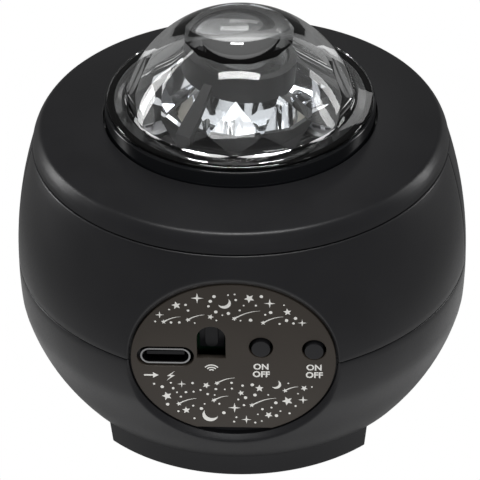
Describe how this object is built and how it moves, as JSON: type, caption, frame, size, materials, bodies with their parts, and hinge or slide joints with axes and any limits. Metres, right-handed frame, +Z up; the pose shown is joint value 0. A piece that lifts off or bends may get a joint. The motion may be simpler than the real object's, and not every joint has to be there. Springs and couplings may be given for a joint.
{
  "type": "star night light projector",
  "caption": "Round black tabletop night light that throws a moving star pattern through a clear faceted dome, with a rear control panel.",
  "frame": {"origin": "on the table, under the middle of the lamp", "axes": "+Z up along the dome's axis, the control panel faces -Y, +X to the right of someone looking at the panel"},
  "size_m": [0.083, 0.0808, 0.0776],
  "materials": {
    "housing_black": "satin moulded ABS, near black",
    "gloss_black": "polished moulded ABS, black",
    "pad_rubber": "matt anti-slip rubber",
    "clear_dome": "clear polished plastic, faceted inside",
    "clear_lens": "clear polished lens",
    "clear_crystal": "clear fluted crystal",
    "panel_plate": "dark warm grey plate with white print",
    "bright_metal": "vacuum-plated mirror",
    "connector_steel": "plated steel",
    "screw_steel": "zinc-plated steel",
    "board_green": "green glass-fibre board with solder mask",
    "board_white": "white solder mask on aluminium board",
    "chip_black": "black moulded resin",
    "stem_black": "dark grey moulded resin",
    "inner_black": "black moulded ABS",
    "gear_nylon": "natural nylon",
    "motor_can": "drawn steel can",
    "led_yellow": "LED package with phosphor"
  },
  "bodies": {
    "housing": {"non_slip_pad": "pad_rubber", "foot": "housing_black", "lower_bowl": "housing_black", "rear_shell": "housing_black", "front_shell": "housing_black", "top_cover": "housing_black", "dome_ring": "gloss_black", "dome": "clear_dome", "io_panel": "panel_plate", "main_board": "board_green", "usb_shell": "connector_steel", "usb_insulator": "chip_black", "ir_receiver": "chip_black", "left_switch": "chip_black", "right_switch": "chip_black", "chassis": "inner_black", "motor": "motor_can", "rotor_sleeve": "inner_black", "optic_deck": "inner_black", "reflector": "bright_metal", "lens_holder": "inner_black", "projection_lens": "clear_lens", "led_board": "board_white", "leds": "led_yellow", "base_screws": "screw_steel", "cover_screws": "screw_steel", "deck_screws": "screw_steel", "motor_screws": "screw_steel", "board_screws": "screw_steel"},
    "rotor": {"rotor_gear": "gear_nylon", "crystal_rotor": "clear_crystal"},
    "motor_rotor": {"motor_shaft": "screw_steel", "motor_pinion": "gear_nylon"},
    "left_button": {"left_button": "stem_black"},
    "right_button": {"right_button": "stem_black"}
  },
  "joints": [
    {"name": "rotor_spin", "type": "hinge", "parent": "housing", "child": "rotor", "pos_m": [0, 0, 0.055], "axis": [0, 0, 1], "continuous": true},
    {"name": "motor_spin", "type": "hinge", "parent": "housing", "child": "motor_rotor", "pos_m": [-0.01304, 0.00753, 0.051], "axis": [0, 0, 1], "continuous": true},
    {"name": "left_button_press", "type": "slide", "parent": "housing", "child": "left_button", "axis": [0, 1, 0], "range_m": [0, 0.00025], "stiffness_N_per_m": 800},
    {"name": "right_button_press", "type": "slide", "parent": "housing", "child": "right_button", "axis": [0, 1, 0], "range_m": [0, 0.00025], "stiffness_N_per_m": 800}
  ],
  "couplings": [
    {"joint": "motor_spin", "follows": "rotor_spin", "ratio": -4}
  ]
}
